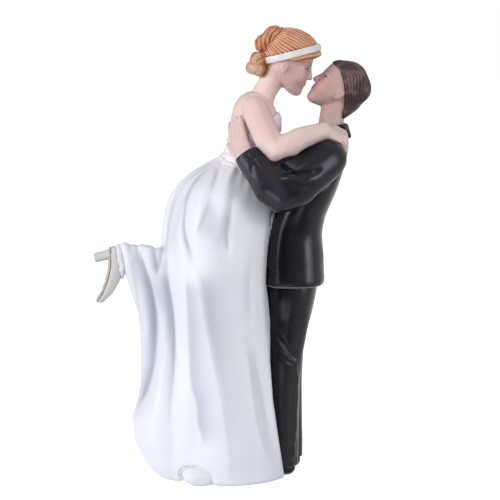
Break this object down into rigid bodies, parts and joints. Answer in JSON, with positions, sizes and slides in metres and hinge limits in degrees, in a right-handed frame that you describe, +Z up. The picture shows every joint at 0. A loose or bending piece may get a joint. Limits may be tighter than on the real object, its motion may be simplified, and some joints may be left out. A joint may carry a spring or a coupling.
{
  "type": "wedding cake topper",
  "caption": "Free-standing cake topper figurine: a groom in a black suit lifts his bride in a white gown, her leg kicked back, painted cast resin, flat underside",
  "frame": {"origin": "On the flat underside of the gown, below the bride", "axes": "+Z up; +X from the bride's back towards the groom; +Y from the pictured side to the far side"},
  "size_m": [0.1053, 0.0612, 0.17],
  "materials": {
    "gown_white": "hand-painted satin white over cast polyresin, cool grey wash in the folds",
    "skin": "hand-painted matte skin tone with pink blush over cast polyresin",
    "hair_blonde": "strawberry blonde paint with brown wash in the carved strands, cast polyresin",
    "hair_brown": "dark brown paint over carved strands, cast polyresin",
    "suit_black": "gloss black paint over cast polyresin",
    "shirt_white": "white paint over cast polyresin",
    "shoe_ivory": "off-white paint over cast polyresin",
    "steel": "plain steel pin"
  },
  "bodies": {
    "root": {"bride_skirt": "gown_white", "bride_bodice": "gown_white", "bride_waist_sash": "gown_white", "bride_headband": "gown_white", "bride_head": "skin", "bride_torso": "skin", "bride_right_arm": "skin", "bride_left_arm": "skin", "groom_head": "skin", "groom_left_hand": "skin", "groom_right_hand": "skin", "bride_hair": "hair_blonde", "bride_hair_bun": "hair_blonde", "bride_hair_curls": "hair_blonde", "groom_hair": "hair_brown", "groom_jacket": "suit_black", "groom_jacket_collar": "suit_black", "groom_left_sleeve": "suit_black", "groom_right_sleeve": "suit_black", "groom_trousers": "suit_black", "groom_bow_tie": "suit_black", "groom_left_shoe": "suit_black", "groom_right_shoe": "suit_black", "groom_shirt": "shirt_white", "bride_raised_shoe": "shoe_ivory", "bride_raised_shoe_sole": "shoe_ivory", "bride_raised_shoe_heel": "shoe_ivory", "bride_standing_shoe": "shoe_ivory", "bride_waist_dowel": "steel", "bride_ankle_pin": "steel"}
  },
  "joints": []
}
